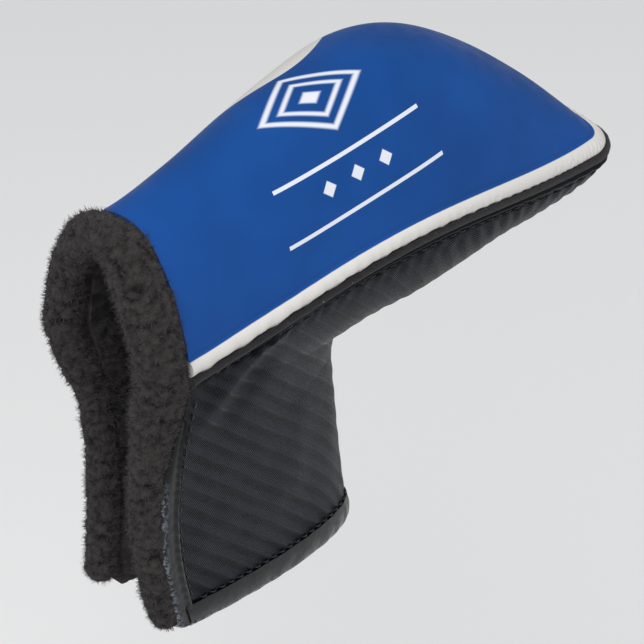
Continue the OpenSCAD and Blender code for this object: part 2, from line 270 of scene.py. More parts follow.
def quads(rows, cols, wrap=False):
    """Faces of a grid of points, as four corners each; wrap joins the last column to the first."""
    i, j = np.meshgrid(np.arange(rows - 1), np.arange(cols if wrap else cols - 1), indexing="ij")
    a, b = i * cols + j, i * cols + (j + 1) % cols
    return np.stack([a, b, b + cols, a + cols], -1).reshape(-1, 4)


def ribbon(a, b):
    """Faces between two rows of point numbers."""
    return np.stack([a[:-1], a[1:], b[1:], b[:-1]], -1)


def make(name, points, faces, uv=None, marks=None, sharp=50):
    """A closed mesh object from points in millimetres and lists of faces, turned so that its faces look outwards.

    uv gives each point's place on the material in millimetres, and marks are named numbers for each point.
    """
    faces = [f[:, ::-1] for f in faces] if volume(points, faces) < 0 else faces
    counts = np.concatenate([np.full(len(f), f.shape[1]) for f in faces])
    corners = np.concatenate([f.ravel() for f in faces])
    mesh = bpy.data.meshes.new(name)
    mesh.vertices.add(len(points))
    mesh.vertices.foreach_set("co", (points * MM).astype(np.float32).ravel())
    mesh.loops.add(len(corners))
    mesh.loops.foreach_set("vertex_index", corners.astype(np.int32))
    mesh.polygons.add(len(counts))
    mesh.polygons.foreach_set("loop_start", (np.cumsum(counts) - counts).astype(np.int32))
    mesh.polygons.foreach_set("use_smooth", np.ones(len(counts), bool))
    mesh.update(calc_edges=True)
    mesh.validate()
    if uv is not None:
        mesh.uv_layers.new(name="pattern").data.foreach_set("uv", uv[corners].astype(np.float32).ravel())
    for key, values in (marks or {}).items():
        mesh.attributes.new(key, "FLOAT", "POINT").data.foreach_set("value", values.astype(np.float32))
    mesh.set_sharp_from_angle(angle=np.radians(sharp))
    piece = bpy.data.objects.new(name, mesh)
    bpy.context.scene.collection.objects.link(piece)
    return piece


def volume(points, faces):
    """Six times the signed volume inside the faces, by tetrahedra from the middle."""
    p = points - points.mean(0)
    total = 0.0
    for f in faces:
        for k in range(1, f.shape[1] - 1):
            total += np.einsum("ij,ij->", p[f[:, 0]], np.cross(p[f[:, k]], p[f[:, k + 1]]))
    return total


def slab(name, outer, inner, uv=None, marks=None):
    """A closed shell between two grids of the same size; uv and marks are given once and serve both faces."""
    rows, cols = outer.shape[:2]
    n = rows * cols
    ids = np.arange(n).reshape(rows, cols)
    faces = np.concatenate([
        quads(rows, cols),
        quads(rows, cols)[:, ::-1] + n,
        ribbon(ids[:, 0], ids[:, 0] + n),
        ribbon(ids[:, -1] + n, ids[:, -1]),
        ribbon(ids[0] + n, ids[0]),
        ribbon(ids[-1], ids[-1] + n),
    ])
    points = np.concatenate([outer.reshape(-1, 3), inner.reshape(-1, 3)])
    uv = None if uv is None else np.tile(uv.reshape(-1, 2), (2, 1))
    marks = {k: np.tile(v.ravel(), 2) for k, v in (marks or {}).items()}
    return make(name, points, [faces], uv, marks)


def tube(name, rings, marks=None):
    """A closed tube through rings of points, with a middle point in each end cap."""
    rows, cols = rings.shape[:2]
    n = rows * cols
    ids = np.arange(n).reshape(rows, cols)
    caps = [np.stack([np.roll(ids[0], -1), ids[0], np.full(cols, n)], -1),
            np.stack([ids[-1], np.roll(ids[-1], -1), np.full(cols, n + 1)], -1)]
    points = np.concatenate([rings.reshape(-1, 3), rings[0].mean(0)[None], rings[-1].mean(0)[None]])
    marks = {k: np.concatenate([v.ravel(), v[0, :1], v[-1, :1]]) for k, v in (marks or {}).items()}
    return make(name, points, [quads(rows, cols, wrap=True), np.concatenate(caps)], marks=marks)


def stitches(name, places, ways, ups, length, radius):
    """Short threads, each an arched tube of five rings of six points that dips into the leather at both ends."""
    along = np.linspace(-1, 1, 5)
    turn = np.arange(6) * np.pi / 3
    sides = np.cross(ways, ups)
    fat = np.sqrt(1 - (along * 0.86) ** 2)
    middle = (places[:, None] + ways[:, None] * (along * length / 2)[None, :, None]
              + ups[:, None] * (radius * 1.3 * (1 - 1.6 * along ** 2))[None, :, None])
    rings = (middle[:, :, None]
             + radius * fat[None, :, None, None] * (sides[:, None, None] * np.cos(turn)[None, None, :, None]
                                                    + ups[:, None, None] * np.sin(turn)[None, None, :, None]))
    count = len(places)
    ids = (np.arange(count) * 30)[:, None, None]
    faces = (ids + quads(5, 6, wrap=True)[None]).reshape(-1, 4)
    ends = np.concatenate([(ids[:, 0] + np.arange(6)[::-1]), (ids[:, 0] + 24 + np.arange(6))])
    return make(name, rings.reshape(-1, 3), [faces, ends])


def row_of(points, pitch):
    """Even stations along a line of points: their places and the line's direction there."""
    step = np.concatenate([[0], np.cumsum(np.linalg.norm(np.diff(points, axis=0), axis=1))])
    at = np.arange(pitch / 2, step[-1] - pitch / 2, pitch)
    places = np.stack([np.interp(at, step, points[:, k]) for k in range(3)], -1)
    ahead = np.stack([np.interp(at + 0.2, step, points[:, k]) for k in range(3)], -1)
    way = ahead - places
    return places, way / np.linalg.norm(way, axis=1)[:, None]


def pile(name, p, n, count, length, seed, density=None):
    """Fibres on a grid of points with normals n: bent three-sided tapers, rooted evenly over the area.

    Each has two rings of three points and a tip, so ten triangles.
    """
    rng = np.random.default_rng(seed)
    area = np.linalg.norm(np.cross(p[1:, :-1] - p[:-1, :-1], p[:-1, 1:] - p[:-1, :-1]), axis=-1)
    area = area if density is None else area * density[:-1, :-1]
    chosen = rng.choice(area.size, count, p=(area / area.sum()).ravel())
    i, j = np.unravel_index(chosen, area.shape)
    u, v = rng.uniform(size=(2, count, 1))

    def within(grid):
        return ((grid[i, j] * (1 - v) + grid[i, j + 1] * v) * (1 - u)
                + (grid[i + 1, j] * (1 - v) + grid[i + 1, j + 1] * v) * u)

    up = within(n)
    up /= np.maximum(np.linalg.norm(up, axis=1)[:, None], 1e-9)
    root = within(p) - up * 0.25
    long = length * rng.uniform(0.45, 1.25, (count, 1))
    way = up * 0.8 + rng.normal(size=(count, 3)) * 0.5
    way /= np.linalg.norm(way, axis=1)[:, None]
    bend = rng.normal(size=(count, 3)) * 0.42
    middle = root + way * long * 0.55 + bend * long * 0.5
    tip = root + way * long + bend * long * 0.2
    side = np.cross(way, rng.normal(size=(count, 3)))
    side /= np.linalg.norm(side, axis=1)[:, None]
    other = np.cross(way, side)
    turn = np.arange(3) * 2 * np.pi / 3
    ring = side[:, None] * np.cos(turn)[None, :, None] + other[:, None] * np.sin(turn)[None, :, None]
    thick = 0.06 * rng.uniform(0.7, 1.2, (count, 1, 1))
    points = np.concatenate([root[:, None] + ring * thick, middle[:, None] + ring * thick * 0.8, tip[:, None]], 1)
    ids = (np.arange(count) * 7)[:, None, None]
    walls = np.array([[0, 1, 4, 3], [1, 2, 5, 4], [2, 0, 3, 5]])
    points_up = np.array([[3, 4, 6], [4, 5, 6], [5, 3, 6], [2, 1, 0]])
    faces = [(ids + walls[None]).reshape(-1, 4), (ids + points_up[None]).reshape(-1, 3)]
    shade = np.repeat(rng.uniform(size=count), 7)
    return make(name, points.reshape(-1, 3), faces, marks={"fibre": shade}, sharp=180)


# ---------------------------------------------------------------- materials

def linear(code):
    """An sRGB hex colour, such as 205299, as linear red, green, blue and alpha."""
    c = np.array([int(code[k:k + 2], 16) for k in (0, 2, 4)]) / 255
    return (*np.where(c <= 0.04045, c / 12.92, ((c + 0.055) / 1.055) ** 2.4), 1.0)


def grain(size):
    """The scale of a texture on Object coordinates, in metres, whose cells are that many millimetres."""
    return 1 / (size * MM)


def feed(tree, made, **inputs):
    """Sets a node's inputs, named or as i and their number, to values or to other nodes' outputs."""
    for key, value in inputs.items():
        socket = made.inputs[int(key[1:]) if key[1:].isdigit() else key.replace("_", " ")]
        if isinstance(value, bpy.types.NodeSocket):
            tree.links.new(value, socket)
        else:
            socket.default_value = value


def add(tree, kind, settings=None, *values, out=None, **inputs):
    """Adds a node with its own settings and returns an output: the one asked for, or else the first in use.

    The values go to the inputs in use, in order, and inputs to named ones.
    """
    made = tree.nodes.new("ShaderNode" + kind)
    for key, value in (settings or {}).items():
        setattr(made, key, value)
    used = [k for k, socket in enumerate(made.inputs) if socket.enabled]
    feed(tree, made, **{f"i{k}": value for k, value in zip(used, values)}, **inputs)
    return made.outputs[out] if out else next(socket for socket in made.outputs if socket.enabled)


# Settings of the nodes that take plain values in order
PLUS, MINUS, TIMES, OVER = ({"operation": name} for name in ("ADD", "SUBTRACT", "MULTIPLY", "DIVIDE"))
TIMES_PLUS, POSITIVE, SINE = ({"operation": name} for name in ("MULTIPLY_ADD", "ABSOLUTE", "SINE"))
REMAINDER, FOLDED, LARGER = ({"operation": name} for name in ("FRACT", "PINGPONG", "MAXIMUM"))
SMOOTHLY = {"interpolation_type": "SMOOTHSTEP"}
COLOURS = {"data_type": "RGBA"}


def material(name):
    """An empty node material with its shader: returns the material, its tree and the Principled shader."""
    made = bpy.data.materials.new(name)
    made.use_nodes = True
    tree = made.node_tree
    return made, tree, next(n for n in tree.nodes if n.type == "BSDF_PRINCIPLED")


def across(tree):
    """The piece's own pattern coordinates, in millimetres: along and across."""
    flat = add(tree, "UVMap", {"uv_map": "pattern"})
    return [add(tree, "SeparateXYZ", None, flat, out=axis) for axis in "XY"]


def printed_leather(colours, sizes):
    """Smooth white polyurethane leather, heat printed.

    A satin film over a cloth backing: clean colour edges, a broad soft highlight and barely any grain.
    """
    made, tree, shader = material("printed_polyurethane_leather")
    u, v = across(tree)
    place = add(tree, "TexCoord", out="Object")

    def near(value, middle, half):
        """1 where value is within half of middle, with an edge 0.1 mm soft."""
        off = add(tree, "Math", POSITIVE, add(tree, "Math", MINUS, value, middle))
        return add(tree, "MapRange", SMOOTHLY, off, half + 0.05, half - 0.05)

    def centred(middle):
        return add(tree, "Math", MINUS, u, middle)

    def stripe(low, high, at, slope):
        """A thin printed line between two ends, bowed a little so that it looks straight on the curved crown."""
        middle, half = (low + high) / 2, (high - low) / 2
        off = centred(middle)
        straight = add(tree, "Math", TIMES_PLUS, off, slope, at - LINE_BOW)
        line = add(tree, "Math", TIMES_PLUS, add(tree, "Math", TIMES, off, off), LINE_BOW / half ** 2, straight)
        inside = near(add(tree, "Math", MINUS, v, line), 0.0, sizes.stripe_width / 2)
        return add(tree, "Math", TIMES, inside, near(u, middle, half))

    def diamond(x, middle, wide, high, low_edge, high_edge):
        """A diamond outline: the sum of both distances, as shares of its half sizes, between two edges."""
        sideways = add(tree, "Math", OVER, add(tree, "Math", POSITIVE, x), wide)
        upwards = add(tree, "Math", OVER, add(tree, "Math", POSITIVE, add(tree, "Math", MINUS, v, middle)), high)
        return near(add(tree, "Math", PLUS, sideways, upwards), (low_edge + high_edge) / 2, (high_edge - low_edge) / 2)

    # Three small diamonds between the lines: u is folded into one pitch and cut off past the third
    folded = add(tree, "Math", FOLDED, centred(PRINT_X - SMALL_PITCH / 2), SMALL_PITCH / 2)
    small = diamond(add(tree, "Math", MINUS, folded, SMALL_PITCH / 2), *SMALL_DIAMOND, -1.0, 0.62)
    white = add(tree, "Math", TIMES, small, near(u, PRINT_X, SMALL_PITCH * 1.5))
    shapes = [stripe(*UPPER_LINE), stripe(*LOWER_LINE)]
    # The large diamond is two rings round a small solid one
    shapes += [diamond(centred(PRINT_X), *LARGE_DIAMOND, *edges) for edges in ((0.84, 0.98), (0.5, 0.62), (-1.0, 0.2))]
    for shape in shapes:
        white = add(tree, "Math", LARGER, white, shape)
    distance = add(tree, "Attribute", {"attribute_name": "seam_distance"}, out="Fac")
    panel = add(tree, "MapRange", SMOOTHLY, distance, sizes.border - 0.12, sizes.border + 0.12)
    # On the far shoulder the print stops in one shallow curve, and the white leather shows past it
    off = centred(PATCH_X)
    limit = add(tree, "Math", TIMES_PLUS, add(tree, "Math", TIMES, off, off), PATCH_CURVE, PATCH_FOOT)
    short = add(tree, "MapRange", SMOOTHLY, add(tree, "Math", MINUS, limit, v), -0.12, 0.12)
    panel = add(tree, "Math", TIMES, panel, short)
    cloud = add(tree, "TexNoise", Vector=place, Scale=grain(30), Detail=2.0)
    cloud = add(tree, "MapRange", SMOOTHLY, cloud, 0.3, 0.7)
    blue = add(tree, "Mix", COLOURS, cloud, colours.print_dark, colours.print_light)
    base = add(tree, "Mix", COLOURS, add(tree, "Math", TIMES, white, 0.93), blue, colours.line)
    base = add(tree, "Mix", COLOURS, panel, colours.border, base)
    pores = add(tree, "TexVoronoi", {"feature": "SMOOTH_F1"}, Vector=place, Scale=grain(0.55))
    slack = add(tree, "TexNoise", Vector=place, Scale=grain(4.5), Detail=3.0)
    normal = add(tree, "Bump", Height=pores, Distance=0.025 * MM, Strength=0.5)
    normal = add(tree, "Bump", Height=slack, Distance=0.12 * MM, Strength=0.6, Normal=normal)
    rough = add(tree, "MapRange", SMOOTHLY, slack, 0.3, 0.7, 0.42, 0.52)
    feed(tree, shader, Base_Color=base, Roughness=rough, Normal=normal, IOR=1.5, Specular_IOR_Level=0.08)
    return made


def embossed_leather(colours, sizes):
    """Black polyurethane leather, roller embossed with bands of short curved strokes, like a woven fibre.

    Satin and nearly neutral: it goes grey where it turns away, and the strokes break up its highlights. One half of
    each band is painted paler as a painted highlight, and the raised strokes are lighter in patches.
    """
    made, tree, shader = material("embossed_polyurethane_leather")
    u, v = across(tree)
    place = add(tree, "TexCoord", out="Object")
    band = add(tree, "Math", MINUS, add(tree, "Math", REMAINDER, add(tree, "Math", OVER, v, sizes.band_pitch)), 0.5)
    # Each band's two halves curve opposite ways and so catch the light differently
    turn = add(tree, "Math", SINE, add(tree, "Math", TIMES, v, 2 * np.pi / sizes.band_pitch))
    arc = add(tree, "Math", TIMES, add(tree, "Math", TIMES, add(tree, "Math", TIMES, band, band), turn), 5.2)
    wobble = add(tree, "Math", TIMES, add(tree, "TexNoise", Vector=place, Scale=grain(3), Detail=2.0), 0.9)
    along = add(tree, "Math", PLUS, add(tree, "Math", PLUS, u, arc), wobble)
    strokes = add(tree, "Math", SINE, add(tree, "Math", TIMES, along, 2 * np.pi / sizes.stroke_pitch))
    strokes = add(tree, "Math", TIMES_PLUS, strokes, 0.5, 0.5)
    edge = add(tree, "MapRange", SMOOTHLY, add(tree, "Math", POSITIVE, band), 0.5, 0.36)
    plain = add(tree, "Attribute", {"attribute_name": "plain"}, out="Fac")
    relief = add(tree, "Math", TIMES, add(tree, "Math", TIMES, strokes, edge), add(tree, "Math", MINUS, 1.0, plain))
    pores = add(tree, "TexNoise", Vector=place, Scale=grain(0.5), Detail=3.0)
    normal = add(tree, "Bump", Height=pores, Distance=0.03 * MM, Strength=0.5)
    normal = add(tree, "Bump", Height=relief, Distance=0.13 * MM, Strength=1.0, Normal=normal)
    patch = add(tree, "TexNoise", Vector=place, Scale=grain(14), Detail=3.0)
    tone = add(tree, "MapRange", SMOOTHLY, patch, 0.3, 0.7)
    base = add(tree, "Mix", COLOURS, tone, colours.leather_dark, colours.leather)
    # The raised strokes are mixed toward the lighter leather colour, in patches
    stroke_tops_lighter = add(tree, "Math", TIMES, relief, add(tree, "MapRange", SMOOTHLY, patch, 0.35, 0.65))
    stroke_tops_lighter = add(tree, "Math", TIMES, stroke_tops_lighter, 0.35)
    base = add(tree, "Mix", COLOURS, stroke_tops_lighter, base, colours.leather_lighter_and_highlight)
    # One half of each band is mixed toward the lighter leather colour: a painted highlight standing in for the light
    # that half catches
    band_half_highlight = add(tree, "MapRange", SMOOTHLY, turn, -0.8, 0.9)
    band_half_highlight = add(tree, "Math", TIMES, band_half_highlight, add(tree, "Math", MINUS, 1.0, plain))
    base = add(tree, "Mix", COLOURS, add(tree, "Math", TIMES, band_half_highlight, 0.4), base, colours.leather_lighter_and_highlight)
    rough = add(tree, "MapRange", SMOOTHLY, pores, 0.3, 0.7, 0.3, 0.42)
    feed(tree, shader, Base_Color=base, Roughness=rough, Normal=normal, IOR=1.5, Specular_IOR_Level=0.08)
    return made


def turned_leather(colours, sizes):
    """The same black leather, smooth and pulled tight over an edge.

    Glossier than the panel, finely creased, and pale blue-grey along the outermost fold: partly scuffs, partly a
    painted highlight.
    """
    made, tree, shader = material("turned_polyurethane_leather")
    place = add(tree, "TexCoord", out="Object")
    crease = add(tree, "TexNoise", Vector=place, Scale=grain(1.6), Detail=4.0)
    pores = add(tree, "TexNoise", Vector=place, Scale=grain(0.4), Detail=2.0)
    flecks = add(tree, "TexNoise", Vector=place, Scale=grain(1.1), Detail=5.0, Roughness=0.7)
    scuffed_and_highlit = add(tree, "Attribute", {"attribute_name": "scuffed_and_highlit"}, out="Fac")
    # Pale blue-grey flecks on the outermost fold: scuffs and a painted highlight
    scuff_and_highlight = add(tree, "Math", TIMES, scuffed_and_highlit, add(tree, "MapRange", SMOOTHLY, flecks, 0.46, 0.56))
    base = add(tree, "Mix", COLOURS, scuff_and_highlight, colours.leather_dark, colours.scuff_and_highlight)
    normal = add(tree, "Bump", Height=pores, Distance=0.03 * MM, Strength=0.4)
    normal = add(tree, "Bump", Height=crease, Distance=0.14 * MM, Strength=0.6, Normal=normal)
    rough = add(tree, "MapRange", SMOOTHLY, crease, 0.3, 0.7, 0.26, 0.42)
    feed(tree, shader, Base_Color=base, Roughness=rough, Normal=normal, IOR=1.5,
         Specular_IOR_Level=0.2, Coat_Weight=0.1, Coat_Roughness=0.18)
    return made


def wool_felt(colours, sizes):
    """Black pressed felt, cut to a strip.

    No highlight at all: a dense matt edge with single pale fibres caught in it.
    """
    made, tree, shader = material("pressed_felt")
    place = add(tree, "TexCoord", out="Object")
    fuzz = add(tree, "TexNoise", Vector=place, Scale=grain(0.35), Detail=4.0, Roughness=0.7)
    lint = add(tree, "TexNoise", Vector=place, Scale=grain(0.9), Detail=2.0)
    tone = add(tree, "MapRange", SMOOTHLY, fuzz, 0.3, 0.75)
    base = add(tree, "Mix", COLOURS, tone, linear("101013"), linear("26262a"))
    base = add(tree, "Mix", COLOURS, add(tree, "MapRange", SMOOTHLY, lint, 0.72, 0.78), base, linear("8f9096"))
    normal = add(tree, "Bump", Height=fuzz, Distance=0.2 * MM, Strength=0.8)
    feed(tree, shader, Base_Color=base, Roughness=0.95, Normal=normal,
         Specular_IOR_Level=0.2, Sheen_Weight=0.12, Sheen_Roughness=0.6)
    return made


def fleece_ground(colours, sizes):
    """The knitted ground and matted roots of a short-pile polyester fleece.

    Dark warm grey and fully matt, with painted shade darkest in the creases between its curls and painted light on
    their crests.
    """
    made, tree, shader = material("fleece_ground")
    place = add(tree, "TexCoord", out="Object")
    fuzz = add(tree, "TexNoise", Vector=place, Scale=grain(0.6), Detail=5.0, Roughness=0.75)
    clump = add(tree, "TexNoise", Vector=place, Scale=grain(3.2), Detail=2.0)
    crest = add(tree, "Attribute", {"attribute_name": "crest"}, out="Fac")
    # Painted light and shade: the curls' height sets most of the tone, lighter on the crests and darker in the creases,
    # and the rest varies at random
    tone = add(tree, "Math", PLUS, add(tree, "Math", TIMES, crest, 0.7), add(tree, "Math", TIMES, clump, 0.3))
    tone = add(tree, "MapRange", SMOOTHLY, tone, 0.3, 0.9)
    base = add(tree, "Mix", COLOURS, tone, colours.fleece_dark, colours.fleece)
    normal = add(tree, "Bump", Height=fuzz, Distance=0.6 * MM, Strength=0.9)
    feed(tree, shader, Base_Color=base, Roughness=1.0, Normal=normal,
         Specular_IOR_Level=0.05, Sheen_Weight=0.08, Sheen_Roughness=0.5)
    return made


def fleece_fibre(colours, sizes):
    """Single crimped polyester fibres, drawn thicker than real ones so that they show.

    Each takes its own tone, and their tips catch a soft sheen against the light.
    """
    made, tree, shader = material("fleece_fibre")
    tone = add(tree, "Attribute", {"attribute_name": "fibre"}, out="Fac")
    base = add(tree, "Mix", COLOURS, tone, colours.fleece_dark, colours.fleece_tip)
    feed(tree, shader, Base_Color=base, Roughness=0.9, Specular_IOR_Level=0.15, Sheen_Weight=0.12, Sheen_Roughness=0.4)
    return made


def bonded_thread(colours, sizes):
    """Black bonded nylon sewing thread.

    A faint waxy gloss broken by its twist.
    """
    made, tree, shader = material("bonded_nylon_thread")
    place = add(tree, "TexCoord", out="Object")
    twist = add(tree, "TexWave", {"bands_direction": "DIAGONAL"}, Vector=place, Scale=grain(1.2))
    # The lighter bands along the twist are a painted sheen
    base = add(tree, "Mix", COLOURS, twist, linear("08090b"), linear("24262b"))
    normal = add(tree, "Bump", Height=twist, Distance=0.06 * MM, Strength=0.6)
    feed(tree, shader, Base_Color=base, Roughness=0.45, Normal=normal)
    return made


def open_foam(colours, sizes):
    """Grey open-cell polyurethane foam.

    Matt, pitted all over by its cut cells.
    """
    made, tree, shader = material("polyurethane_foam")
    cells = add(tree, "TexVoronoi", Vector=add(tree, "TexCoord", out="Object"), Scale=grain(0.8))
    # Darker in the middle of each cell's pit: painted shade
    base = add(tree, "Mix", COLOURS, cells, linear("6e7075"), linear("a4a6ab"))
    normal = add(tree, "Bump", Height=cells, Distance=0.25 * MM, Strength=0.8)
    feed(tree, shader, Base_Color=base, Roughness=0.95, Normal=normal, Specular_IOR_Level=0.2)
    return made


def grosgrain(colours, sizes):
    """Black woven polyester tape with close cross ribs.

    Dull, with a fine line of light on each rib.
    """
    made, tree, shader = material("woven_polyester_tape")
    ribs = add(tree, "TexWave", {"bands_direction": "X"}, Vector=add(tree, "TexCoord", out="Object"), Scale=grain(2.2))
    base = add(tree, "Mix", COLOURS, ribs, linear("131417"), linear("2b2d32"))
    normal = add(tree, "Bump", Height=ribs, Distance=0.12 * MM, Strength=0.8)
    feed(tree, shader, Base_Color=base, Roughness=0.8, Normal=normal)
    return made


def plated_magnet(colours, sizes):
    """Neodymium magnets plated with nickel.

    Bright warm grey metal with a soft tumbled haze.
    """
    made, tree, shader = material("nickel_plated_magnet")
    haze = add(tree, "TexNoise", Vector=add(tree, "TexCoord", out="Object"), Scale=grain(1.5), Detail=3.0)
    rough = add(tree, "MapRange", SMOOTHLY, haze, 0.3, 0.7, 0.2, 0.36)
    feed(tree, shader, Base_Color=linear("b9b4a8"), Metallic=1.0, Roughness=rough)
    return made


def studio_card(colours, sizes):
    """Matt pale paper under the object."""
    made, tree, shader = material("studio_paper")
    feed(tree, shader, Base_Color=linear("fafafa"), Roughness=1.0, Specular_IOR_Level=0.0)
    return made


FINISHES = {}


def coloured(maker):
    """The material of one maker function, made once and kept."""
    if maker.__name__ not in FINISHES:
        scene = bpy.context.scene
        FINISHES[maker.__name__] = maker(scene.cover_colours, scene.cover_sizes)
    return FINISHES[maker.__name__]


def settle(piece, maker, replaced=(), side=None):
    """Gives a piece its material in a new slot and hides the CAD nodes it replaces; a side's piece has its placement
    baked into its mesh, any other rides on the cover.
    """
    piece.data.materials.append(coloured(maker))
    if replaced:
        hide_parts(*replaced)
    if side:
        fold = next(j for j in frame["joints"] if j["name"] == f"{side}_flap_fold")
        place, axis = np.array(fold["pos_m"]), np.array(fold["axis"])
        way = np.cross(axis, [0, -SIDES[side]["way"], 0])
        way *= -np.sign(way[0]) / np.linalg.norm(way)
        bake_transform(piece)
    else:
        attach(piece, "cover")
    return piece


def mirrored(p, side):
    """A near-side form as it is, or its mirror image for the far side."""
    return p * [1, SIDES[side]["way"], 1]


# ---------------------------------------------------------------- forms

def head_xs(d, n):
    """Stations along the head, closer together towards the toe."""
    return TOE_REACH - d - (TOE_REACH - d + HEEL_REACH) * (1 - np.linspace(0, 1, n)) ** 1.7


def crown_grid(d, n, m):
    x, a = np.meshgrid(head_xs(d, n), np.linspace(0, 180, m), indexing="ij")
    return crown_pt(x, a, d)


def seam_line(n):
    """The crown's edge in the long seam, near heel to far heel, and the length along it."""
    rim = rim_pt(np.linspace(-1, 1, n), 0)
    line = np.column_stack([rim, line_z(rim[:, 0]) + WELT_T / 2])
    return line, np.concatenate([[0], np.cumsum(np.linalg.norm(np.diff(line, axis=0), axis=1))])


def from_seam(p):
    """For each point, its distance to the long seam and how far along the seam that is."""
    line, along = seam_line(420)
    flat = p.reshape(-1, 3)
    best, where = np.full(len(flat), 1e9), np.zeros(len(flat))
    for part in np.array_split(np.arange(len(line)), 20):
        gap = np.linalg.norm(flat[:, None] - line[None, part], axis=-1)
        k = gap.argmin(1)
        closer = gap.min(1) < best
        best = np.where(closer, gap.min(1), best)
        where = np.where(closer, along[part][k], where)
    return best.reshape(p.shape[:-1]), where.reshape(p.shape[:-1])


def crown_sheet(sizes):
    """The crown's leather: the crown surface, plus a rolled and finely puckered border and soft hollows."""
    outer, inner = crown_grid(0, 230, 190), crown_grid(LEATHER_T, 230, 190)
    distance, along = from_seam(outer)
    out = outward(outer, [TOE_REACH / 3, 0, SEAM_Z])
    roll = np.sin(np.pi * share(distance / (sizes.border + 0.6))) ** 0.8 * sizes.border_roll
    pucker = np.sin(2 * np.pi * along / 1.4 + 2.5 * swell(outer, 9, 5)) * bell(distance, 1.6, 2.2)
    groove = -0.22 * bell(distance, sizes.border + 0.5, 0.7)
    hollow = swell(outer, 34, 21) * 0.3 + swell(outer, 15, 22) * 0.1
    free = smooth(distance / 10) * smooth((outer[..., 0] + HEEL_REACH) / 8)
    tuck = -0.5 * smooth(1 - distance / 1.0)
    lift = roll + pucker * sizes.pucker + groove + hollow * free + tuck
    step = np.linalg.norm(np.diff(outer, axis=1), axis=-1)
    arc = np.concatenate([np.zeros((len(outer), 1)), np.cumsum(step, axis=1)], 1)
    uv = np.stack([outer[..., 0], arc], -1)
    return slab("crown_sheet_leather", outer + out * lift[..., None], inner, uv, {"seam_distance": distance})


def crown_padding():
    """Foam under the crown's leather: the crown surface at the foam's two depths."""
    return slab("crown_padding", crown_grid(FOAM_D, 60, 50), crown_grid(FLEECE_D - 0.2, 60, 50))


def tufted(p, n, seed, height=1.5):
    """A fleece face: curls of 2.4 mm with smaller ones on them, pushed out along the normals; also the crest height."""
    crest = 0.6 * curls(p, 2.4, seed) + 0.4 * curls(p, 1.2, seed + 1)
    return p + n * ((crest - 0.5) * height + 0.35 * swell(p, 13, seed + 2))[..., None], crest


def crown_lining():
    """The fleece inside the crown, its curls facing the head and its edges let down to the sides' fleece."""
    outer, inner = crown_grid(FLEECE_D, 120, 110), crown_grid(INNER_D, 120, 110)
    face, crest = tufted(inner, -outward(inner, [TOE_REACH / 3, 0, SEAM_Z]), 31)
    a = np.linspace(0, 180, 110)
    face[..., 2] -= 1.2 * (1 - smooth(np.minimum(a, 180 - a) / 8))
    return slab("crown_fleece_lining", outer, face, marks={"crest": crest})


def seam_welt(sizes):
    """The felt welt: a round-edged strip carried round the long seam, thicker towards the toe."""
    s = np.linspace(-1, 1, 420)
    turn = np.radians([90, 126, 153, 180, 207, 234, 270])
    rim, inside = rim_pt(s, 0), rim_pt(s, FLEECE_D - 0.2)
    thick = 1.0 + 0.45 * smooth(1 - np.abs(s) / 0.45)
    away = rim - rim_pt(s, 1)
    away = away / np.linalg.norm(away, axis=1)[:, None]
    fuzz = swell(np.column_stack([rim * 3, s * 90]), 6, 9) * 0.08
    rings = []
    for t in turn:
        reach = sizes.welt_proud - 0.9 + 0.9 * -np.cos(t) + fuzz + 0.5 * smooth(1 - np.abs(s) / 0.4)
        rings.append(np.column_stack([rim + away * reach[:, None], line_z(rim[:, 0]) + thick * np.sin(t)]))
    rings.append(np.column_stack([inside, line_z(inside[:, 0]) - 0.8]))
    rings.append(np.column_stack([inside, line_z(inside[:, 0]) + 0.8]))
    return tube("seam_welt_felt", np.stack(rings, 1))


def side_rows(toe_n, seam_n, edge_n, last):
    """Row numbers over a side: fine near the toe, even along the seam, then even down the open edge."""
    return np.concatenate([np.linspace(0, 1, toe_n) ** 1.5, np.linspace(1, 2, seam_n)[1:],
                           np.linspace(2, last, edge_n)[1:]])


def side_grid(w, angles, d, side):
    return mirrored(side_pt(*np.broadcast_arrays(w, angles), d, SIDES[side]["bulge"]), side)


def hem_top(a):
    """The row at which the hem band starts: 7 mm up at the open edge, narrowing towards the closed edge."""
    return 4 - 0.155 + 0.05 * share(a / 70)


